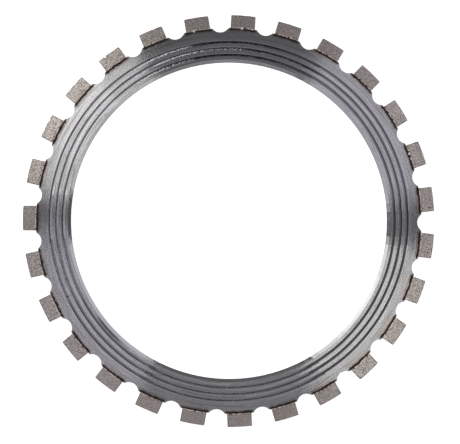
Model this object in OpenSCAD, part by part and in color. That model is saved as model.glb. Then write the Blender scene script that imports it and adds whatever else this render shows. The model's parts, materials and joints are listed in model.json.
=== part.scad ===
// Ring saw blade: a turned steel ring with diamond segments welded to the teeth of its rim.
// It is driven by a grooved wheel on its inner edge and steered by rollers in its side grooves,
// so it has no hub and no spokes, and cuts almost as deep as it is wide.
//
// Millimetres. The axis of the ring is Z. The origin is its centre, half-way through its
// thickness. Segment 1 is centred on +X and the others follow counter-clockwise seen from +Z.
// The blade lies flat on the side faces of the segments, which stand proud of the ring.

/* [Ring] */
// Diameter over the tips of the segments
blade_dia = 370; // [330:1:420]
// Radial width of the steel ring, from the running edge to the welds
ring_width = 29.6; // [27:0.1:40]
// Thickness of the steel ring
ring_thick = 3.4; // [2.8:0.1:4.5]

/* [Running edge] */
// Radial width of the bevel on each side of the running edge
bevel_width = 2.9; // [2:0.1:5]
// Width of the narrow land that the two bevels leave
edge_land = 0.8; // [0.4:0.1:1.6]

/* [Guide grooves] */
// Number of concentric grooves in each face
groove_count = 3; // [1:1:3]
// Flat left between the bevel and the first groove
groove_start = 2.7; // [0.8:0.1:3]
// Distance from one groove to the next
groove_pitch = 5.8; // [4.5:0.1:6.5]
// Width of a groove at the face
groove_width = 3.3; // [2:0.1:4]
// Depth of a groove
groove_depth = 1; // [0.4:0.05:1.1]
// Share of a groove's width taken by the flank nearer the bore
inner_flank = 0.6; // [0.4:0.05:0.7]
// Width of the narrow floor between the two flanks
groove_floor = 0.3; // [0.1:0.05:0.6]

/* [Teeth] */
// Number of teeth, each with one segment
segment_count = 27; // [22:1:30]
// How far a tooth reaches past its segment at each end
tooth_overhang = 1.9; // [1:0.1:3]
// Depth of the round gullets, from the foot of the segments
gullet_depth = 4; // [2.8:0.1:5]

/* [Segments] */
// Length of a segment along the rim
segment_length = 22; // [18:0.5:24]
// Height of a segment, from the weld to the tip
segment_height = 11.6; // [7:0.1:14]
// How far each side of a segment stands proud of the ring
side_clearance = 0.45; // [0.2:0.05:0.9]
// Small bevel along the edges of a segment's side faces
segment_bevel = 0.4; // [0.1:0.05:0.6]

/* [Welds] */
// Width of the weld seam between tooth and segment
weld_width = 1.8; // [0.8:0.1:2.5]
// How far the seam lies below the faces of the ring
weld_sink = 0.2; // [0.05:0.05:0.4]

/* [Hidden] */
// Radii, from the tip inward
tip_r = blade_dia / 2;
foot_r = tip_r - segment_height;
land_r = foot_r - weld_width;
bore_r = land_r - ring_width;
first_groove_r = bore_r + bevel_width + groove_start;

// Heights above the middle plane
face_z = ring_thick / 2;
groove_z = face_z - groove_depth;
segment_z = face_z + side_clearance;
weld_z = face_z - weld_sink;

// Each gullet is a round notch: its opening is what the teeth leave of the rim, and its
// radius is that of the arc through both ends of the opening and the floor.
pitch_angle = 360 / segment_count;
tooth_length = segment_length + 2 * tooth_overhang;
gullet_width = 2 * foot_r * sin(pitch_angle / 2 - asin(tooth_length / 2 / foot_r));
gullet_rise = gullet_depth - foot_r + sqrt(foot_r ^ 2 - (gullet_width / 2) ^ 2);
gullet_r = ((gullet_width / 2) ^ 2 + gullet_rise ^ 2) / (2 * gullet_rise);
gullet_centre_r = foot_r - gullet_depth + gullet_r;

// Half the angle of rim that surely holds one segment
segment_reach = 1.5 * asin(segment_length / 2 / foot_r);

// A cut runs past the faces by this much
past = 1;

// The chipped tips of the blade: segment, place along the tip from the middle towards the
// next segment, radius of the chip and depth of the chip
chips = [
    [10, 4.5, 1.15, 1.5],
    [11, -2.5, 5.2, 0.4],
    [12, 5, 2.8, 0.5],
    [12, -6, 1.9, 0.6]
];

steel = [0.66, 0.67, 0.7];
diamond_matrix = [0.56, 0.52, 0.49];
weld_metal = [0.13, 0.11, 0.1];

function segment_name(n) = str("segment_", n < 10 ? "0" : "", n);
function segment_angle(n) = (n - 1) * pitch_angle;

// Section of one groove in the upper face, from the rim nearer the bore outward
function groove_section(rim_r) =
    let (floor_r = rim_r + inner_flank * groove_width)
    [
        [rim_r, face_z],
        [floor_r - groove_floor / 2, groove_z],
        [floor_r + groove_floor / 2, groove_z],
        [rim_r + groove_width, face_z]
    ];

// Upper half of the ring's section: running edge, bevel, grooves and the flat web to the land
function upper_section() = concat(
    [[bore_r, edge_land / 2], [bore_r + bevel_width, face_z]],
    [
        for (g = [0 : groove_count - 1])
        each groove_section(first_groove_r + g * groove_pitch)
    ],
    [[land_r, face_z]]
);

function mirrored(points) = [for (i = [len(points) - 1 : -1 : 0]) [points[i].x, -points[i].y]];

// The round notches between the teeth, which cut the ring and the welds alike
module gullets() {
    for (n = [1 : segment_count])
        rotate([0, 0, segment_angle(n) + pitch_angle / 2])
            translate([gullet_centre_r, 0, 0])
                cylinder(r = gullet_r, h = 2 * (face_z + past), center = true, $fn = 96);
}

// The steel ring, turned on both sides and notched round its rim
module core_ring() {
    color(steel)
        difference() {
            rotate_extrude($fn = 360)
                polygon(concat(upper_section(), mirrored(upper_section())));
            gullets();
        }
}

// The dark seams that join each segment to its tooth, one solid for each segment
module weld_seams() {
    color(weld_metal)
        difference() {
            rotate_extrude($fn = 360)
                translate([land_r, -weld_z])
                    square([weld_width, 2 * weld_z]);
            gullets();
        }
}

// Section of a block with bevelled corners, both sizes given as half widths
module bevelled_section(half_x, half_y, bevel) {
    polygon([
        for (s = [[1, 1], [-1, 1], [-1, -1], [1, -1]])
        each s.x * s.y > 0
            ? [[s.x * half_x, s.y * (half_y - bevel)], [s.x * (half_x - bevel), s.y * half_y]]
            : [[s.x * (half_x - bevel), s.y * half_y], [s.x * half_x, s.y * (half_y - bevel)]]
    ]);
}

// Sector of the rim between foot and tip, with its tip edges bevelled
module segment_sector() {
    rotate([0, 0, -segment_reach])
        rotate_extrude(angle = 2 * segment_reach, $fn = 360)
            polygon([
                [foot_r, -segment_z],
                [tip_r - segment_bevel, -segment_z],
                [tip_r, -segment_z + segment_bevel],
                [tip_r, segment_z - segment_bevel],
                [tip_r - segment_bevel, segment_z],
                [foot_r, segment_z]
            ]);
}

// Straight bar along +X that gives a segment its parallel ends
module segment_bar() {
    translate([foot_r - segment_height, 0, 0])
        rotate([0, 90, 0])
            linear_extrude(height = 3 * segment_height)
                bevelled_section(segment_z, segment_length / 2, segment_bevel);
}

// The chips that wear has broken out of one segment's tip
module tip_chips(n) {
    for (chip = chips)
        if (chip[0] == n)
            translate([tip_r + chip[2] - chip[3], chip[1], 0])
                cylinder(r = chip[2], h = 2 * (segment_z + past), center = true, $fn = 48);
}

// One diamond segment, numbered from +X
module diamond_segment(n) {
    color(diamond_matrix)
        rotate([0, 0, segment_angle(n)])
            difference() {
                intersection() {
                    segment_sector();
                    segment_bar();
                }
                tip_chips(n);
            }
}

core_ring();
weld_seams();
for (n = [1 : segment_count])
    diamond_segment(n);
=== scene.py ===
"""Looks of the ring saw blade: turned steel ring, dark weld seams, sintered diamond segments.

Metres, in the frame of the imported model: the ring's axis is Z, its centre is the origin, and
segment_01 is centred on +X. The camera looks down on the blade, which lies flat.
"""
import json
import math

import bpy
import numpy as np
from mathutils import Matrix, Vector

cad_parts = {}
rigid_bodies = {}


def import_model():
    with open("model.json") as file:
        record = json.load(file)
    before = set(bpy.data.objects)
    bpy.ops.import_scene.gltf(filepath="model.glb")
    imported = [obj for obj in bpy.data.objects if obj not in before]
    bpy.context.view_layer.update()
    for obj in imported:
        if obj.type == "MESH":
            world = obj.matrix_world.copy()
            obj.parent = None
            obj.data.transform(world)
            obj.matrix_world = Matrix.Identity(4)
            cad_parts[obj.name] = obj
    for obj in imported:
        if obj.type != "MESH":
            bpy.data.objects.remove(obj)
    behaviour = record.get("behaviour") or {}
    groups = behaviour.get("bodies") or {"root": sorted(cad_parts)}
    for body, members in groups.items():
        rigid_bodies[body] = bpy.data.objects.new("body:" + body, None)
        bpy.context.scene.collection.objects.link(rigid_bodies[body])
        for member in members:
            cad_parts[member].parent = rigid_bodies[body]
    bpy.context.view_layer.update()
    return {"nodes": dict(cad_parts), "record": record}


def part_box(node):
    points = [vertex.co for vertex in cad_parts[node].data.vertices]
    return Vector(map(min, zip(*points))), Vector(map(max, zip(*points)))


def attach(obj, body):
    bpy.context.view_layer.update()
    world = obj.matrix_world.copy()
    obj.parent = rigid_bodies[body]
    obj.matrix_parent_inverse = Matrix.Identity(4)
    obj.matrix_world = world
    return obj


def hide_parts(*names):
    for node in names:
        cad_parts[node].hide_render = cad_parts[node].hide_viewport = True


for leftover in list(bpy.data.objects):
    bpy.data.objects.remove(leftover)
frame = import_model()

MM = 0.001


def node_corners(node):
    """Corners of a CAD node, one row each."""
    mesh = frame["nodes"][node].data
    corners = np.empty(len(mesh.vertices) * 3)
    mesh.vertices.foreach_get("co", corners)
    return corners.reshape(-1, 3)


def node_radii(node):
    """Smallest and largest distance of a CAD node's corners from the ring's axis."""
    corners = node_corners(node)
    radii = np.hypot(corners[:, 0], corners[:, 1])
    return float(radii.min()), float(radii.max())


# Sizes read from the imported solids
LAND_R = node_radii("core_ring")[1]
FOOT_R, TIP_R = node_radii("segment_01")
SEGMENTS = sorted(n for n in frame["nodes"] if n.startswith("segment_"))
PITCH = 2 * math.pi / len(SEGMENTS)
FACE_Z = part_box("core_ring")[1][2]


def face_start():
    """Radius at which the bevel of the running edge reaches the flat face."""
    corners = frame["nodes"]["core_ring"].data.vertices
    return min(math.hypot(v.co.x, v.co.y) for v in corners if v.co.z > FACE_Z - 0.01 * MM)


def groove_middles():
    """Radii of the middles of the groove floors, from the bore outward."""
    corners = frame["nodes"]["core_ring"].data.vertices
    radii = [math.hypot(v.co.x, v.co.y) for v in corners if abs(v.co.z) < FACE_Z - 0.5 * MM]
    radii = sorted({round(r / MM, 1) for r in radii if BEVEL_R < r < LAND_R - 2 * MM})
    return [(a + b) / 2 * MM for a, b in zip(radii[::2], radii[1::2])]


BEVEL_R = face_start()
GROOVES = groove_middles()
SEGMENT_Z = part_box("segment_01")[1][2]
SEGMENT_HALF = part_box("segment_01")[1][1]
WELD_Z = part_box("weld_seams")[1][2]

# How the photograph holds the blade: segment_01 is turned this far counter-clockwise from the
# picture's right, and the side of the ring at FAR_AZIMUTH is tilted away from the camera.
PHOTO_TURN = math.radians(6.14)
TILT = math.radians(4.0)
FAR_AZIMUTH = math.radians(32)
CAMERA_DISTANCE = 10 * TIP_R
CAMERA_REACH = 20
SENSOR_WIDTH = 36.0
IMAGE_W, IMAGE_H = 460, 444
# Width that one pixel of the photograph shows, and the pixel at which the origin lies
PIXEL = 0.8980 * MM
CENTRE_PX = (229.68, 220.34)
# Middle of the ring's outline in the picture
RING_PX = (228.46, 220.6)


def photo_direction(azimuth, elevation=0.0):
    """Unit vector in the model's frame for angles in radians as the picture shows them."""
    a = azimuth - PHOTO_TURN
    flat = math.cos(elevation)
    return Vector((math.cos(a) * flat, math.sin(a) * flat, math.sin(elevation)))


def photo_side(degrees):
    """Direction from the ring's centre to one side of it, as the picture shows it."""
    return photo_direction(math.radians(degrees))


def photo_place(x, y):
    """Point on the upper side face that shows at the picture's pixel x, y."""
    x, y = (x - RING_PX[0]) * PIXEL, (RING_PX[1] - y) * PIXEL
    c, s = math.cos(PHOTO_TURN), math.sin(PHOTO_TURN)
    return Vector((x * c + y * s, y * c - x * s, SEGMENT_Z))


# Roughness of the steel along the tool marks, and how far the marks lean the surface across
STEEL_ROUGH = 0.12
LEAN = 0.8
# Where the guide rollers have chattered: in all grooves, mainly in the middle one, and faintly
CHATTER_ALL, CHATTER_MIDDLE, CHATTER_LEFT = photo_side(113), photo_side(90), photo_side(180)
# Painted shade on the inner flanks of the grooves on the upper side, and a dark band beside the
# bevel: radius, middle and reach in the picture's degrees, and least share of dark; the most is
# BAND_MOST
TO_FLANK = 0.8 * MM
DARK_BANDS = [
    (GROOVES[0] - TO_FLANK, 94, 20, 0.15),
    (GROOVES[1] - TO_FLANK, 71, 13, 0.15),
    (GROOVES[2] - TO_FLANK, 87, 14, 0.15),
    (BEVEL_R + 1.5 * MM, 222, 5, 0.85),
]
BAND_MOST = 0.88
# Middle of the side where the painted shade in the floors of the grooves is rust brown, and the part
# of that side where it runs without a break: middle and reach in the picture's degrees
RUSTED = photo_side(228)
SHADE_UNBROKEN = (223, 16)
# Middle of the side where the grit of the segments is smeared over
SMEARED = photo_side(262)
# Middle of the side where the welding has tinted the ring
HEATED = photo_side(320)
# Painted shade on the segments on these sides: middle and reach in the picture's degrees
SHADED_SIDES = [(52, 14), (180, 8), (292, 14)]
# In the picture's pixels: the dark speck on the ring, those on the sides of the segments, and
# painted glints on the weld beads at the feet of the segments
RING_SPECK = (67.2, 296.9)
SPECKS = [(429.4, 207.6), (427.3, 252.7), (163.4, 36.6)]
GLINTS = [(192.4, 31.2), (240.7, 28.0), (251.0, 28.6), (411.5, 158.0), (409.3, 153.2)]

# Outer and inner radius of each kind of spot, between which it fades
RING_SPECK_SIZE = (1.5 * MM, 1.05 * MM)
SPECK_SIZE = (1.1 * MM, 0.5 * MM)
GLINT_SIZE = (1.6 * MM, 0.8 * MM)

# Outward from the middle of a groove's floor: where the worn rim starts, is full, fades, ends
RIM_START, RIM_FULL, RIM_FADE, RIM_END = 0.9 * MM, 1.3 * MM, 1.6 * MM, 1.8 * MM
# To either side of its line, how far the dark is full and where it ends: on floors, and in the dark
# bands
FLOOR_DARK, FLOOR_END = 0.3 * MM, 0.65 * MM
BAND_FULL, BAND_END = 0.7 * MM, 0.95 * MM
# The flats are rubbed pale from the bevel to here, and not beyond the second radius
RUBBED_FULL, RUBBED_END = GROOVES[-1] + 1 * MM, GROOVES[-1] + 5 * MM
# What welding has done to the ring, each from the radius where it starts to where it is full
TINT = (LAND_R - 8 * MM, LAND_R - 1 * MM)
BROWN = (LAND_R - 2.8 * MM, LAND_R - 0.3 * MM)
BLACK = (LAND_R - 0.6 * MM, LAND_R - 0.2 * MM)
# Along the rim, from the middle of a tooth: where scorching and tint fade out
SCORCHED_END, SCORCHED_FULL = SEGMENT_HALF + 1.6 * MM, SEGMENT_HALF + 0.4 * MM
TINTED_END, TINTED_FULL = SEGMENT_HALF + 3 * MM, SEGMENT_HALF - 6 * MM

# Tones of the steel ring
STEEL_EVEN, STEEL_PALE = (0.365, 0.365, 0.372, 1), (0.385, 0.385, 0.389, 1)
STEEL_MARKED = (0.30, 0.30, 0.31, 1)
STEEL_BEVEL = (0.46, 0.46, 0.465, 1)
STEEL_FLANK = (0.365, 0.363, 0.388, 1)
STEEL_RUBBED = (0.45, 0.45, 0.455, 1)
# Painted shade for the floors of the grooves: grey, and rust brown on one side
GROOVE_SHADE, GROOVE_RUST_SHADE = (0.08, 0.08, 0.095, 1), (0.060, 0.040, 0.034, 1)
# Painted shade on the inner flanks, and the dark band beside the bevel
BAND_TONE = (0.035, 0.035, 0.045, 1)
RING_SPECK_TONE = (0.02, 0.04, 0.035, 1)
HEAT_TINT = (0.40, 0.325, 0.27, 1)
SCORCHED_BROWN, SCORCHED_BLACK = (0.20, 0.135, 0.10, 1), (0.016, 0.011, 0.009, 1)
# Across the face of a segment, each from where it starts to where it is full: the burr along
# the ends and the tip, and the soot along the foot
END_BURR = (SEGMENT_HALF - 0.8 * MM, SEGMENT_HALF - 0.3 * MM)
TIP_BURR = (TIP_R - 0.9 * MM, TIP_R - 0.4 * MM)
FOOT_SOOT = (FOOT_R + 1.0 * MM, FOOT_R + 0.1 * MM)
# Tones of the segments
GRIT_DARK, GRIT_BRIGHT = (0.178, 0.157, 0.142, 1), (0.575, 0.524, 0.480, 1)
GRIT_FINE, GRIT_PATCH = (0.33, 0.30, 0.28, 1), (0.28, 0.25, 0.23, 1)
BURR = (0.10, 0.08, 0.07, 1)
# Painted shade for the segments on some sides
SEGMENT_SHADE = (0.19, 0.165, 0.147, 1)
SPECK = (0.05, 0.04, 0.035, 1)
SOOT = (0.11, 0.065, 0.05, 1)
# Across a seam, likewise: bare metal at its ends and where it meets the steel, and bare beads,
# painted pale and bright for their glints
SEAM_ENDS = (SEGMENT_HALF + 0.9 * MM, SEGMENT_HALF + 1.4 * MM)
SEAM_LAND = (LAND_R + 0.15 * MM, LAND_R - 0.10 * MM)
SEAM_BEADS_GLINT = (FOOT_R - 0.45 * MM, FOOT_R - 0.1 * MM)
# Tones of the weld seams
SCALE_DARK, SCALE_BROWN = (0.010, 0.007, 0.006, 1), (0.045, 0.028, 0.022, 1)
WELD_ENDS = (0.20, 0.18, 0.17, 1)
# Bare beads painted pale to stand in for their glints, and painted glints
BARE_BEAD_AND_GLINT, PAINTED_GLINT = (0.95, 0.79, 0.73, 1), (1.0, 0.93, 0.90, 1)


class Shader:
    """Small helper that adds nodes to a material and links them."""

    def __init__(self, name):
        self.material = bpy.data.materials.get(name) or bpy.data.materials.new(name)
        self.material.use_nodes = True
        self.tree = self.material.node_tree
        self.tree.nodes.clear()
        self.output = self.tree.nodes.new("ShaderNodeOutputMaterial")

    def put(self, socket, value):
        """Links a socket, or sets a plain value."""
        if isinstance(value, bpy.types.NodeSocket):
            self.tree.links.new(value, socket)
        else:
            socket.default_value = value

    def node(self, kind, inputs=None, **settings):
        made = self.tree.nodes.new("ShaderNode" + kind)
        for key, value in settings.items():
            setattr(made, key, value)
        for key, value in (inputs or {}).items():
            self.put(made.inputs[key], value)
        return made

    def math(self, operation, a, b=0.0, clamp=False):
        return self.node("Math", {0: a, 1: b}, operation=operation, use_clamp=clamp).outputs[0]

    def times(self, a, b):
        return self.math("MULTIPLY", a, b)

    def plus(self, a, b):
        return self.math("ADD", a, b)

    def larger(self, a, b):
        return self.math("MAXIMUM", a, b)

    def distance(self, a, b):
        """How far number a is from number b."""
        return self.math("ABSOLUTE", self.math("SUBTRACT", a, b))

    def vector(self, operation, a, b=(0, 0, 0)):
        return self.node("VectorMath", {0: a, 1: b}, operation=operation).outputs[0]

    def stretched(self, vector, factor):
        """The vector made longer by a factor."""
        return self.node("VectorMath", {0: vector, "Scale": factor}, operation="SCALE").outputs[0]

    def measure(self, operation, a, b=(0, 0, 0)):
        """Number that a vector operation gives."""
        return self.node("VectorMath", {0: a, 1: b}, operation=operation).outputs["Value"]

    def part(self, vector, axis):
        return self.node("SeparateXYZ", {0: vector}).outputs[axis]

    def step(self, value, low, high):
        """0 below low and 1 above high, or the other way round where high is the smaller."""
        made = self.node("MapRange", {"Value": value, "From Min": low, "From Max": high},
                         interpolation_type="SMOOTHSTEP")
        return made.outputs["Result"]

    def scale(self, value, low, high):
        """Stretches 0 to 1 into low to high."""
        made = self.node("MapRange", {"Value": value, "To Min": low, "To Max": high})
        return made.outputs["Result"]

    def mix(self, factor, a, b):
        """Colour between a and b."""
        inputs = {"Factor": factor, "A": a, "B": b}
        return self.node("Mix", inputs, data_type="RGBA").outputs["Result"]

    def mix_numbers(self, factor, a, b):
        return self.node("Mix", {"Factor": factor, "A": a, "B": b}).outputs[0]

    def mix_vectors(self, factor, a, b):
        # The vector sockets of a Mix node are its fifth and sixth input and its second output
        return self.node("Mix", {0: factor, 4: a, 5: b}, data_type="VECTOR").outputs[1]

    def noise(self, vector, scale, detail, roughness):
        inputs = {"Vector": vector, "Scale": scale, "Detail": detail, "Roughness": roughness}
        return self.node("TexNoise", inputs).outputs["Fac"]

    def bump(self, height, distance, strength):
        inputs = {"Height": height, "Distance": distance, "Strength": strength}
        return self.node("Bump", inputs).outputs[0]

    def surface(self, **inputs):
        """Ends the material in a Principled shader."""
        shader = self.node("BsdfPrincipled")
        for key, value in inputs.items():
            self.put(shader.inputs[key.replace("_", " ")], value)
        self.tree.links.new(shader.outputs[0], self.output.inputs["Surface"])


class RingShader(Shader):
    """Shader that knows its place on the ring: radius and unit vector outward, as sockets."""

    def __init__(self, name):
        super().__init__(name)
        self.place = self.node("TexCoord").outputs["Object"]
        flat = self.vector("MULTIPLY", self.place, (1, 1, 0))
        self.radius = self.measure("LENGTH", flat)
        self.outward = self.vector("NORMALIZE", flat)

    def ring_noise(self, radial, around, detail, roughness):
        """Noise that changes `radial` times a metre outward and `around` times round."""
        spin = self.node("SeparateXYZ", {0: self.stretched(self.outward, around)})
        depth = self.times(self.radius, radial)
        parts = {0: spin.outputs[0], 1: spin.outputs[1], 2: depth}
        return self.noise(self.node("CombineXYZ", parts).outputs[0], 1.0, detail, roughness)

    def side(self, direction, low, high):
        """1 on the side of the ring towards a direction, low and high as cosines of the angle."""
        return self.step(self.measure("DOT_PRODUCT", self.outward, direction), low, high)

    def span(self, middle, reach):
        """1 on the part of the ring within `reach` degrees of `middle`, in the picture's degrees."""
        blur = 3
        start, full = (math.cos(math.radians(a)) for a in (reach + blur, reach - blur))
        return self.side(photo_side(middle), start, full)

    def spot(self, pixel, size):
        """1 on a round spot that shows at a pixel of the picture; its size is two radii."""
        return self.step(self.measure("DISTANCE", self.place, photo_place(*pixel)), *size)

    def tooth_arc(self):
        """Distance along the rim from the middle of the nearest tooth."""
        parts = self.node("SeparateXYZ", {0: self.place})
        angle = self.math("ARCTAN2", parts.outputs[1], parts.outputs[0])
        wrapped = {0: angle, 1: PITCH / 2, 2: -PITCH / 2}
        local = self.node("Math", wrapped, operation="WRAP").outputs[0]
        return self.times(self.math("ABSOLUTE", local), self.radius)


def worn_rims(s):
    """1 on the outer rims of the grooves, which are worn round."""
    rims = [s.times(s.step(s.radius, groove + RIM_START, groove + RIM_FULL),
                    s.step(s.radius, groove + RIM_END, groove + RIM_FADE)) for groove in GROOVES]
    return s.plus(s.plus(*rims[:2]), rims[2])


def machined_tone(s, bevel, flank, rubbed):
    """Tones of the turned surfaces: faces, bevel, flanks and the flats that are rubbed pale."""
    marks = s.ring_noise(2600, 3, 3, 0.6)
    broad = s.ring_noise(420, 2.5, 2, 0.5)
    tone = s.mix(s.step(broad, 0.3, 0.7), STEEL_EVEN, STEEL_PALE)
    tone = s.mix(s.scale(marks, 0.0, 0.35), tone, STEEL_MARKED)
    tone = s.mix(bevel, tone, STEEL_BEVEL)
    tone = s.mix(flank, tone, STEEL_FLANK)
    return s.mix(s.times(rubbed, 0.6), tone, STEEL_RUBBED)


def groove_shade_and_speck(s, tone, offsets):
    """Painted shade on the bottoms and inner flanks of the grooves, a dark band by the bevel, and the
    ring's speck.
    """
    nearest = s.math("MINIMUM", s.math("MINIMUM", *offsets[:2]), offsets[2])
    # Painted shade in the floors of the grooves: in dashes, rust brown on one side and unbroken on
    # part of it
    floor_shade = s.step(nearest, FLOOR_END, FLOOR_DARK)
    dashes = s.step(s.ring_noise(700, 62, 2, 0.6), 0.42, 0.54)
    rusted = s.side(RUSTED, 0.35, 0.75)
    share = s.mix_numbers(rusted, 0.85, s.scale(dashes, 0.15, 0.65))
    share = s.larger(share, s.times(s.span(*SHADE_UNBROKEN), 0.95))
    tone = s.mix(s.times(floor_shade, share), tone, s.mix(rusted, GROOVE_SHADE, GROOVE_RUST_SHADE))
    # Painted shade on the inner flanks on the upper side, and the dark band beside the bevel
    for line, middle, reach, least in DARK_BANDS:
        across = s.step(s.distance(s.radius, line), BAND_END, BAND_FULL)
        band = s.times(across, s.span(middle, reach))
        tone = s.mix(s.times(band, s.scale(dashes, least, BAND_MOST)), tone, BAND_TONE)
    return s.mix(s.spot(RING_SPECK, RING_SPECK_SIZE), tone, RING_SPECK_TONE)


def weld_scorch(s, tone):
    """Edge beside the welds, and the share of it that is burnt black.

    It has a black ragged line, then brown that fades out, and on one side of the ring a paler
    tint that spreads farther.
    """
    arc = s.tooth_arc()
    beside = s.step(arc, SCORCHED_END, SCORCHED_FULL)
    warm = s.times(s.step(s.radius, *TINT), s.side(HEATED, 0.84, 0.97))
    warm = s.times(warm, s.step(arc, TINTED_END, TINTED_FULL))
    tone = s.mix(s.times(warm, 0.3), tone, HEAT_TINT)
    ragged = s.scale(s.noise(s.place, 900, 3, 0.6), -0.9 * MM, 0.9 * MM)
    wavy = s.scale(s.noise(s.place, 260, 2, 0.5), -1.1 * MM, 1.1 * MM)
    edge = s.plus(s.radius, s.plus(ragged, wavy))
    brown = s.times(s.step(edge, *BROWN), 0.55)
    tone = s.mix(s.times(brown, beside), tone, SCORCHED_BROWN)
    black = s.times(s.step(edge, *BLACK), beside)
    return s.mix(black, tone, SCORCHED_BLACK), black


def steel_roughness(s, smooth, rubbed, black):
    """Clouded roughness, a little finer where it is smooth and dull where it is burnt."""
    cloud = s.noise(s.place, 55, 3, 0.55)
    rough = s.scale(cloud, STEEL_ROUGH - 0.02, STEEL_ROUGH + 0.02)
    rough = s.times(rough, s.scale(smooth, 1.0, 0.85))
    rough = s.times(rough, s.scale(rubbed, 1.0, 1.1))
    return s.larger(rough, s.times(black, 0.6))


def tool_mark_lean(s, bevel, flank):
    """Each tool mark leans the surface a little outward or inward, never along the rim."""
    lean = s.scale(s.ring_noise(5200, 2, 2, 0.7), -LEAN, LEAN)
    lean = s.times(lean, s.scale(flank, 1.0, 0.22))
    lean = s.times(lean, s.scale(bevel, 1.0, 0.5))
    return s.stretched(s.outward, lean)


def roller_chatter(s, walls, middle_offset):
    """Short facets across the grooves, left by the guide rollers; `walls` says where they can lie."""
    middle = s.scale(s.step(middle_offset, 2.3 * MM, 2.0 * MM), 0.22, 0.85)
    strength = s.larger(s.times(s.side(CHATTER_ALL, 0.972, 0.992), 0.9),
                        s.times(s.side(CHATTER_MIDDLE, 0.84, 0.93), middle))
    left = s.times(s.side(CHATTER_LEFT, 0.985, 0.997), 0.3)
    strength = s.times(s.larger(strength, s.times(left, middle)), walls)
    swing = s.times(s.scale(s.ring_noise(900, 110, 3, 0.7), 1.1, -1.5), strength)
    return s.stretched(s.vector("CROSS_PRODUCT", s.outward, (0, 0, 1)), swing)


def turned_steel():
    """Steel with fine concentric tool marks: it shines in fans that follow the lights."""
    s = RingShader("core_steel")
    geometry = s.node("NewGeometry")
    rise = s.part(geometry.outputs["True Normal"], 2)
    up = s.math("ABSOLUTE", rise)
    past_bevel = s.step(s.radius, BEVEL_R, BEVEL_R + 0.5 * MM)
    bevel = s.step(s.radius, BEVEL_R + 0.2 * MM, BEVEL_R - 0.1 * MM)
    flank = s.times(s.step(up, 0.97, 0.92), past_bevel)
    rubbed = s.times(past_bevel, s.step(s.radius, RUBBED_END, RUBBED_FULL))
    rubbed = s.math("SUBTRACT", rubbed, flank, True)
    rims = worn_rims(s)
    offsets = [s.distance(s.radius, groove) for groove in GROOVES]
    tone = groove_shade_and_speck(s, machined_tone(s, bevel, flank, rubbed), offsets)
    tone, black = weld_scorch(s, tone)
    # Crisp edges on both faces, smooth walls in the bore and the gullets, and worn rims that
    # catch the light of the flats
    face = s.math("GREATER_THAN", up, 0.5)
    facing = s.mix_vectors(face, geometry.outputs["Normal"], geometry.outputs["True Normal"])
    level = s.node("CombineXYZ", {2: s.math("SIGN", rise)}).outputs[0]
    facing = s.mix_vectors(s.times(rims, face), facing, level)
    normal = s.vector("ADD", facing, tool_mark_lean(s, bevel, flank))
    walls = s.math("SUBTRACT", flank, rims, True)
    normal = s.vector("ADD", normal, roller_chatter(s, walls, offsets[1]))
    rough = steel_roughness(s, s.larger(flank, bevel), rubbed, black)
    s.surface(Base_Color=tone, Metallic=1.0, Roughness=rough, Anisotropic=1.0,
              Tangent=s.outward, Normal=s.vector("NORMALIZE", normal))
    return s.material


def sintered_grit():
    """Sintered metal and diamond grit: mottled, pitted, and bright where its ground faces shine."""
    s = RingShader("diamond_matrix")
    grain = s.noise(s.place, 860, 1, 0.6)
    fine = s.noise(s.vector("ADD", s.place, (0.3, 0.1, 0.7)), 1500, 2, 0.6)
    patch = s.noise(s.place, 200, 2, 0.5)
    smeared = s.times(s.side(SMEARED, 0.75, 0.95), 0.45)
    metal = s.mix_numbers(smeared, s.step(grain, 0.40, 0.58), 0.5)
    tone = s.mix(metal, GRIT_DARK, GRIT_BRIGHT)
    tone = s.mix(s.scale(fine, 0.0, 0.3), tone, GRIT_FINE)
    tone = s.mix(s.scale(patch, 0.0, 0.25), tone, GRIT_PATCH)
    # Dark burr along the ends and the tip
    ragged = s.scale(fine, -0.35 * MM, 0.35 * MM)
    arc = s.plus(s.tooth_arc(), ragged)
    rim = s.plus(s.radius, ragged)
    burr = s.larger(s.step(arc, *END_BURR), s.step(rim, *TIP_BURR))
    tone = s.mix(s.times(burr, 0.75), tone, BURR)
    # Painted shade on the segments on some sides
    for middle, reach in SHADED_SIDES:
        tone = s.mix(s.times(s.span(middle, reach), 0.3), tone, SEGMENT_SHADE)
    for pixel in SPECKS:
        tone = s.mix(s.spot(pixel, SPECK_SIZE), tone, SPECK)
    # Soot from the weld along the foot
    rim = s.plus(rim, s.scale(grain, -1.5 * MM, 1.5 * MM))
    tone = s.mix(s.times(s.step(rim, *FOOT_SOOT), 0.6), tone, SOOT)
    s.surface(Base_Color=tone, Metallic=s.scale(metal, 0.25, 1.0),
              Roughness=s.scale(grain, 0.36, 0.26), Anisotropic=0.87, Tangent=s.outward,
              Normal=s.bump(grain, 0.15 * MM, 0.1))
    return s.material


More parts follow.
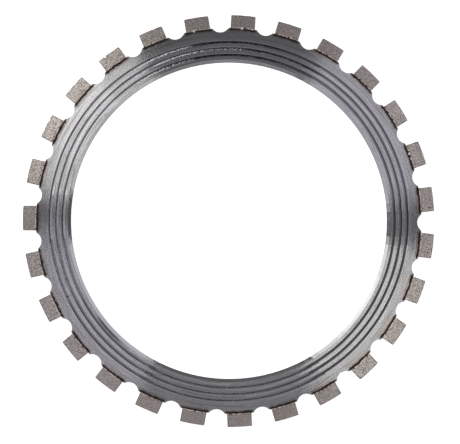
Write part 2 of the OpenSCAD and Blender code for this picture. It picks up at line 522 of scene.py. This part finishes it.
def scaled_weld():
    """Nearly black weld metal under a crust of scale, with uncovered pinkish beads along the foot,
    painted pale in patches for their glints, and a few painted glints.
    """
    s = RingShader("weld_metal")
    crust = s.noise(s.place, 900, 3, 0.6)
    wide = s.noise(s.place, 300, 2, 0.5)
    tone = s.mix(s.step(crust, 0.45, 0.75), SCALE_DARK, SCALE_BROWN)
    # Bare metal at the ends of the seam and where it meets the steel
    arc = s.plus(s.tooth_arc(), s.scale(crust, -0.6 * MM, 0.6 * MM))
    edge = s.plus(s.radius, s.scale(wide, -0.5 * MM, 0.5 * MM))
    ends = s.larger(s.step(arc, *SEAM_ENDS), s.step(edge, *SEAM_LAND))
    tone = s.mix(ends, tone, WELD_ENDS)
    # Bare beads along the foot, in patches, painted pale and bright for their glints
    edge = s.plus(s.radius, s.scale(crust, -0.4 * MM, 0.4 * MM))
    patch = s.step(s.noise(s.place, 460, 2, 0.5), 0.38, 0.50)
    bare_glint = s.times(s.step(edge, *SEAM_BEADS_GLINT), patch)
    tone = s.mix(bare_glint, tone, BARE_BEAD_AND_GLINT)
    # Painted glints on the beads at listed spots
    for pixel in GLINTS:
        tone = s.mix(s.spot(pixel, GLINT_SIZE), tone, PAINTED_GLINT)
    metal = s.larger(s.times(bare_glint, 0.3), ends)
    s.surface(Base_Color=tone, Metallic=s.scale(metal, 0.1, 1.0),
              Roughness=s.scale(s.larger(bare_glint, ends), 0.75, 0.30),
              Normal=s.bump(crust, 0.12 * MM, 0.6))
    return s.material


MATERIALS = {"core_steel": turned_steel, "diamond_matrix": sintered_grit, "weld_metal": scaled_weld}


def dress_nodes():
    """Gives every CAD node the procedural material of its slot."""
    made = {slot: build() for slot, build in MATERIALS.items()}
    for part in frame["record"]["subparts"]:
        node = frame["nodes"][part["node"]]
        for slot in node.material_slots:
            slot.material = made[part["material_slot"]]


class Noise:
    """Smooth repeatable noise in space, between -1 and 1."""

    CELLS = 32

    def __init__(self, seed):
        self.table = np.random.default_rng(seed).uniform(-1, 1, (self.CELLS,) * 3)

    def __call__(self, points, size):
        place = points / size
        low = np.floor(place).astype(int)
        part = place - low
        part = part * part * (3 - 2 * part)
        total = np.zeros(len(points))
        for corner in np.ndindex(2, 2, 2):
            i, j, k = ((low + corner) % self.CELLS).T
            weight = np.prod(np.where(corner, part, 1 - part), axis=1)
            total += weight * self.table[i, j, k]
        return total


def ramp(value, low, high):
    """Smooth step from 0 at low to 1 at high."""
    t = np.clip((value - low) / (high - low), 0, 1)
    return t * t * (3 - 2 * t)


def block_surface(lines):
    """Closed grid over a block: its points on the given lines along x, y and z, and its quads."""
    ids = np.full([len(line) for line in lines], -1)
    shell = np.zeros(ids.shape, bool)
    shell[[0, -1]] = shell[:, [0, -1]] = shell[:, :, [0, -1]] = True
    ids[shell] = np.arange(shell.sum())
    i, j, k = np.nonzero(shell)
    points = np.column_stack((lines[0][i], lines[1][j], lines[2][k]))
    quads = []
    for axis in range(3):
        for side in (0, -1):
            face = np.take(ids, side, axis=axis)
            a, b, c, d = face[:-1, :-1], face[1:, :-1], face[1:, 1:], face[:-1, 1:]
            turn = (a, b, c, d) if (side == -1) == (axis != 1) else (a, d, c, b)
            quads.append(np.stack([corner.ravel() for corner in turn], axis=1))
    return points, np.vstack(quads)


def spaced_lines(half, edge, step):
    """Grid lines from -half to half, closer together in the rounded edges."""
    inner = half - edge
    count = max(1, round(2 * inner / step))
    near = inner + edge * np.array([0.4, 0.72, 1.0])
    return np.concatenate((-near[::-1], np.linspace(-inner, inner, count + 1), near))


def round_edges(points, halves, edge):
    """Pulls a block's edges and corners onto a radius, and returns the outward directions."""
    inner = np.clip(points, edge - halves, halves - edge)
    out = points - inner
    out /= np.linalg.norm(out, axis=1, keepdims=True)
    return inner + edge * out, out


def make_piece(name, points, quads, material, node):
    """Mesh object of smooth quads that stands for a CAD node and rides on its body."""
    mesh = bpy.data.meshes.new(name)
    mesh.from_pydata(points.tolist(), [], quads.tolist())
    mesh.polygons.foreach_set("use_smooth", np.ones(len(mesh.polygons), bool))
    mesh.materials.append(bpy.data.materials[material])
    piece = bpy.data.objects.new(name, mesh)
    bpy.context.scene.collection.objects.link(piece)
    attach(piece, "root")
    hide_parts(node)
    return piece


def on_ring(radius, angle, z):
    """Points at these radii, angles and heights, one row each."""
    return np.column_stack((radius * np.cos(angle), radius * np.sin(angle), z))


def turn_about_axis(points, angle):
    c, s = math.cos(angle), math.sin(angle)
    return points @ np.array([[c, s, 0], [-s, c, 0], [0, 0, 1]])


# Seeds of the relief, to which the segment's number is added
GRIT_SEED, WELD_SEED = 100, 500

# Segments: rounding of the edges, spacing of the mesh, and how far in the tip is worn and the
# foot is melted
GRIT_EDGE = 0.4 * MM
GRIT_MESH = 0.4 * MM
WORN_REACH = 2.2 * MM
MELTED_REACH = 1.1 * MM
# In millimetres: heights of grains and lumps, depth of the pits, and how far the face is sunk
GRAIN_HEIGHT, LUMP_HEIGHT, PIT_DEPTH, GRIT_SUNK = 0.015, 0.03, 0.05, 0.035
# How far each tip is worn ragged, in millimetres, by segment; the others have the plain amount
TIP_WEAR = {8: 0.25, 9: 0.35, 10: 0.45, 11: 0.5, 12: 0.5, 13: 0.35}
PLAIN_WEAR = 0.18
# Broken tips: segment, place along the tip, half width and depth in millimetres
NOTCHES = [(10, 4.5, 1.1, 1.5), (11, -2.5, 2.0, 0.4), (12, 5.0, 1.6, 0.5), (12, -6.0, 1.4, 0.6)]


def gritty_segment(number, node):
    """A segment with its worn tip, its broken grit and its pits as real relief."""
    noise = Noise(GRIT_SEED + number)
    height = TIP_R - FOOT_R
    halves = np.array([height / 2, SEGMENT_HALF, SEGMENT_Z])
    points, quads = block_surface([spaced_lines(h, GRIT_EDGE, GRIT_MESH) for h in halves])
    points, out = round_edges(points, halves, GRIT_EDGE)
    # Grit stands out and pits go in, mostly on the side faces
    fine = noise(points, 0.75 * MM)
    coarse = noise(points + 3, 2.6 * MM)
    pits = ramp(noise(points + 7, 0.9 * MM), 0.5, 0.85)
    relief = (GRAIN_HEIGHT * fine + LUMP_HEIGHT * coarse - PIT_DEPTH * pits - GRIT_SUNK) * MM
    points += out * relief[:, None]
    # The tip is worn back unevenly
    wear = TIP_WEAR.get(number, PLAIN_WEAR)
    across = points * (0, 1, 0.35)
    ragged = 0.5 + 0.35 * noise(across, 1.1 * MM) + 0.35 * noise(across + 5, 3.4 * MM)
    near_tip = ramp(points[:, 0], halves[0] - WORN_REACH, halves[0])
    points[:, 0] -= near_tip * np.clip(ragged, 0, 1) * wear * MM
    for at, place, half, depth in NOTCHES:
        if at == number:
            reach = 1 - ramp(np.abs(points[:, 1] - place * MM), 0.35 * half * MM, half * MM)
            points[:, 0] -= near_tip * reach * depth * MM
    # The foot's edges are melted back, where the weld's beads lie
    near_foot = 1 - ramp(points[:, 0], -halves[0], MELTED_REACH - halves[0])
    melted = near_foot * (0.4 + 0.25 * coarse) * MM
    points[:, 2] -= np.sign(points[:, 2]) * melted * ramp(np.abs(points[:, 2]), 0, halves[2])
    # From the block to the sector of the rim
    y = points[:, 1]
    share = (points[:, 0] + halves[0]) / height
    foot, tip = np.sqrt(FOOT_R ** 2 - y ** 2), np.sqrt(TIP_R ** 2 - y ** 2)
    points[:, 0] = foot + share * (tip - foot)
    points = turn_about_axis(points, (number - 1) * PITCH)
    return make_piece(f"grit_{number:02d}", points, quads, "diamond_matrix", node)


# Weld seams: rounding of the edges, spacing of the mesh, and in millimetres the heights of
# grains and lumps and how far the seam is sunk
SEAM_EDGE = 0.25 * MM
SEAM_MESH = 0.5 * MM
SEAM_GRAIN, SEAM_LUMP, SEAM_SUNK = 0.10, 0.12, 0.05
# Beads: rows and sides of a string, and in millimetres the mean radius, and the place out from
# the foot and below the face
BEAD_ROWS, BEAD_SIDES = 72, 8
BEAD_SIZE, BEAD_OUT, BEAD_BELOW = 0.27, 0.22, 0.34


def tooth_half_angles():
    """Half the angle that a tooth spans where the seam meets the steel, and at the foot."""
    corners = node_corners("weld_seams")
    radii = np.hypot(corners[:, 0], corners[:, 1])
    off = (np.arctan2(corners[:, 1], corners[:, 0]) + PITCH / 2) % PITCH - PITCH / 2
    return [float(np.abs(off[np.abs(radii - r) < 0.1 * MM]).max()) for r in (LAND_R, FOOT_R)]


def seam_block(number, noise):
    """The fused seam across one tooth, rough and a little hollow."""
    at_land, at_foot = tooth_half_angles()
    half_r, half_y = (FOOT_R - LAND_R) / 2, at_foot * FOOT_R
    halves = np.array([half_r, half_y, WELD_Z])
    points, quads = block_surface([spaced_lines(h, SEAM_EDGE, SEAM_MESH) for h in halves])
    points, out = round_edges(points, halves, SEAM_EDGE)
    fine, coarse = noise(points, 0.6 * MM), noise(points + 2, 1.7 * MM)
    points += out * ((SEAM_GRAIN * fine + SEAM_LUMP * coarse - SEAM_SUNK) * MM)[:, None]
    share = np.clip((points[:, 0] + half_r) / (2 * half_r), 0, 1)
    radius = (LAND_R + FOOT_R) / 2 + points[:, 0]
    angle = points[:, 1] / half_y * (at_land + share * (at_foot - at_land))
    return on_ring(radius, angle + (number - 1) * PITCH, points[:, 2]), quads


def bead_string(number, noise, side):
    """Uneven string of beads along the foot of one segment, on one face."""
    t = np.linspace(-1, 1, BEAD_ROWS + 1)
    along = np.column_stack((t * SEGMENT_HALF, np.full_like(t, side * 0.01), np.zeros_like(t)))
    size = BEAD_SIZE + 0.13 * noise(along, 1.0 * MM) + 0.08 * noise(along + 4, 3.0 * MM)
    size *= np.sqrt(np.clip(1.02 - t ** 4, 0, 1))
    drift = 0.18 * noise(along + 8, 1.6 * MM)
    angle = (number - 1) * PITCH + along[:, 0] / FOOT_R
    points = []
    for turn in np.linspace(0, 2 * math.pi, BEAD_SIDES, endpoint=False):
        radius = FOOT_R + (BEAD_OUT + drift + size * math.cos(turn)) * MM
        z = side * (SEGMENT_Z - (BEAD_BELOW - size * math.sin(turn)) * MM)
        points.append(on_ring(radius, angle, z))
    points = np.stack(points, axis=1).reshape(-1, 3)
    quads = []
    for row in range(BEAD_ROWS):
        for i in range(BEAD_SIDES):
            a, b = row * BEAD_SIDES + i, row * BEAD_SIDES + (i + 1) % BEAD_SIDES
            c, d = b + BEAD_SIDES, a + BEAD_SIDES
            quads.append((a, d, c, b) if side > 0 else (a, b, c, d))
    return points, np.array(quads)


def weld_piece():
    """All seams with their beads, as one piece that stands for the weld node."""
    points, quads, base = [], [], 0
    for number in range(1, len(SEGMENTS) + 1):
        noise = Noise(WELD_SEED + number)
        for p, q in (seam_block(number, noise), bead_string(number, noise, 1),
                     bead_string(number, noise, -1)):
            points.append(p)
            quads.append(q + base)
            base += len(p)
    return make_piece("weld_relief", np.vstack(points), np.vstack(quads), "weld_metal", "weld_seams")


def add_camera():
    """Camera at the photograph's angle, with the ring's centre where the picture has it."""
    data = bpy.data.cameras.new("camera")
    data.sensor_width = SENSOR_WIDTH
    data.lens = SENSOR_WIDTH * CAMERA_DISTANCE / (IMAGE_W * PIXEL)
    data.shift_x = (IMAGE_W / 2 - CENTRE_PX[0]) / IMAGE_W
    data.shift_y = (CENTRE_PX[1] - IMAGE_H / 2) / IMAGE_W
    data.clip_end = CAMERA_REACH
    camera = bpy.data.objects.new("camera", data)
    bpy.context.scene.collection.objects.link(camera)
    back = photo_direction(FAR_AZIMUTH + math.pi, math.pi / 2 - TILT)
    up = photo_side(90)
    up = (up - back * up.dot(back)).normalized()
    right = up.cross(back)
    turned = Matrix((right, up, back)).transposed().to_4x4()
    camera.matrix_world = Matrix.Translation(back * CAMERA_DISTANCE) @ turned
    bpy.context.scene.camera = camera


# Softboxes in stacks: name, the fan on the ring that the stack lights (from and to, in the
# picture's degrees), distance in metres, colour, and elevation, half height and watts of each
WARM, MILD, COOL = (1.0, 0.985, 0.965), (0.98, 0.95, 1.0), (0.935, 0.90, 1.0)
FAR, CLOSE = 1.4, 0.7
STACKS = [
    ("key", 121.3, 172.6, FAR, WARM, [(10, 7.5, 1.83), (22, 7.5, 1.24), (36, 7.5, 1.37),
                                      (50, 7.5, 1.40), (64, 7.5, 0.98), (76, 4.5, 0.51)]),
    ("core", 134, 160, FAR, WARM, [(29, 14.5, 0.58), (66, 10, 0.44)]),
    ("far", 296.8, 350.2, FAR, WARM, [(47, 8, 1.03), (64, 7.5, 0.79), (76, 4.5, 0.40)]),
    ("side", 7.3, 61.3, FAR, COOL, [(10, 7.5, 1.48), (22, 7.5, 0.34), (36, 7.5, 0.74),
                                    (50, 7.5, 0.84), (64, 7.5, 0.50), (76, 4.5, 0.24)]),
    ("left", 184.3, 241, FAR, COOL, [(10, 7.5, 0.45), (22, 7.5, 0.52), (36, 7.5, 0.43),
                                     (50, 7.5, 0.60), (64, 7.5, 0.82), (76, 4.5, 0.45)]),
    ("near", 243, 296.5, CLOSE, MILD, [(11, 7, 0.15), (30, 10, 0.145), (50, 10, 0.09),
                                       (70, 8, 0.10)]),
    ("top", 62, 119, FAR, COOL, [(11, 7, 0.84), (50, 10, 0.14), (70, 9, 0.13)]),
    ("low_left", 170, 187, FAR, COOL, [(12, 7, 0.26), (30, 9, 0.31)]),
    ("low_right", 350, 368, FAR, WARM, [(11, 7, 0.17)]),
    ("low_top", 118.5, 121.5, FAR, WARM, [(11, 7, 0.07)]),
    ("gap_left", 172.6, 184.3, FAR, COOL, [(64, 7.5, 0.037), (76, 4.5, 0.02)]),
    ("gap_right", 350.2, 367.3, FAR, MILD, [(64, 7.5, 0.03), (76, 4.5, 0.016)]),
]
SKY_STRENGTH = 0.12


def lamp_azimuth(fan, elevation):
    """Direction of a lamp whose reflection shows at the azimuth `fan`, for the tilted camera."""
    lag = math.sin(TILT) * math.sin(FAR_AZIMUTH + math.pi - fan) / math.cos(elevation)
    return fan - math.asin(max(-0.9, min(0.9, lag)))


def add_panel(name, fan, elevation, half_height, distance, power, colour):
    """Softbox that faces the blade and lights one fan of it; all angles are in degrees."""
    elevation = math.radians(elevation)
    start, end = (lamp_azimuth(math.radians(a), elevation) for a in fan)
    data = bpy.data.lights.new(name, "AREA")
    data.shape = "RECTANGLE"
    data.size = 2 * distance * math.cos(elevation) * math.tan((end - start) / 2)
    data.size_y = 2 * distance * math.tan(math.radians(half_height))
    data.energy = power
    data.color = colour
    panel = bpy.data.objects.new(name, data)
    bpy.context.scene.collection.objects.link(panel)
    towards = photo_direction((start + end) / 2, elevation)
    panel.location = towards * distance
    panel.rotation_mode = "QUATERNION"
    panel.rotation_quaternion = towards.to_track_quat("Z", "Y")


def add_lights():
    """Softboxes, each as two panels one above the other, so that its sides keep to the fan."""
    for name, start, end, distance, colour, boxes in STACKS:
        for elevation, half_height, power in boxes:
            heights = [elevation - half_height / 2, elevation + half_height / 2]
            areas = [math.cos(math.radians(h)) for h in heights]
            for height, area in zip(heights, areas):
                add_panel(f"{name}_{height}", (start, end), height, half_height / 2, distance,
                          power * area / sum(areas), colour)


def add_sky():
    """Weak even light from all round."""
    world = bpy.data.worlds.new("studio")
    world.use_nodes = True
    background = world.node_tree.nodes["Background"]
    background.inputs["Color"].default_value = (1, 1, 1, 1)
    background.inputs["Strength"].default_value = SKY_STRENGTH
    bpy.context.scene.world = world


# Floor: half its width, its grey, and how bright the camera and reflections see it
FLOOR_REACH = 3.0
FLOOR_GREY = 0.8
FLOOR_GLOW = 0.75


def add_floor():
    """Plain white floor that the camera sees as white, and that keeps the blade's shadow."""
    mesh = bpy.data.meshes.new("floor")
    corners = [(x * FLOOR_REACH, y * FLOOR_REACH, -SEGMENT_Z)
               for x, y in ((-1, -1), (1, -1), (1, 1), (-1, 1))]
    mesh.from_pydata(corners, [], [(0, 1, 2, 3)])
    floor = bpy.data.objects.new("floor", mesh)
    bpy.context.scene.collection.objects.link(floor)
    s = Shader("floor")
    diffuse = s.node("BsdfDiffuse", {"Color": (FLOOR_GREY, FLOOR_GREY, FLOOR_GREY, 1)}).outputs[0]
    path = s.node("LightPath")
    seen = s.larger(path.outputs["Is Camera Ray"], path.outputs["Is Glossy Ray"])
    seen = s.larger(seen, path.outputs["Is Transmission Ray"])
    glow = s.node("Emission", {"Color": (1, 1, 1, 1), "Strength": s.times(seen, FLOOR_GLOW)})
    both = s.node("AddShader", {0: diffuse, 1: glow.outputs[0]}).outputs[0]
    s.tree.links.new(both, s.output.inputs["Surface"])
    mesh.materials.append(s.material)


dress_nodes()
for number, node in enumerate(SEGMENTS, start=1):
    gritty_segment(number, node)
weld_piece()
add_camera()
add_lights()
add_sky()
add_floor()
bpy.context.scene.view_settings.view_transform = "Standard"
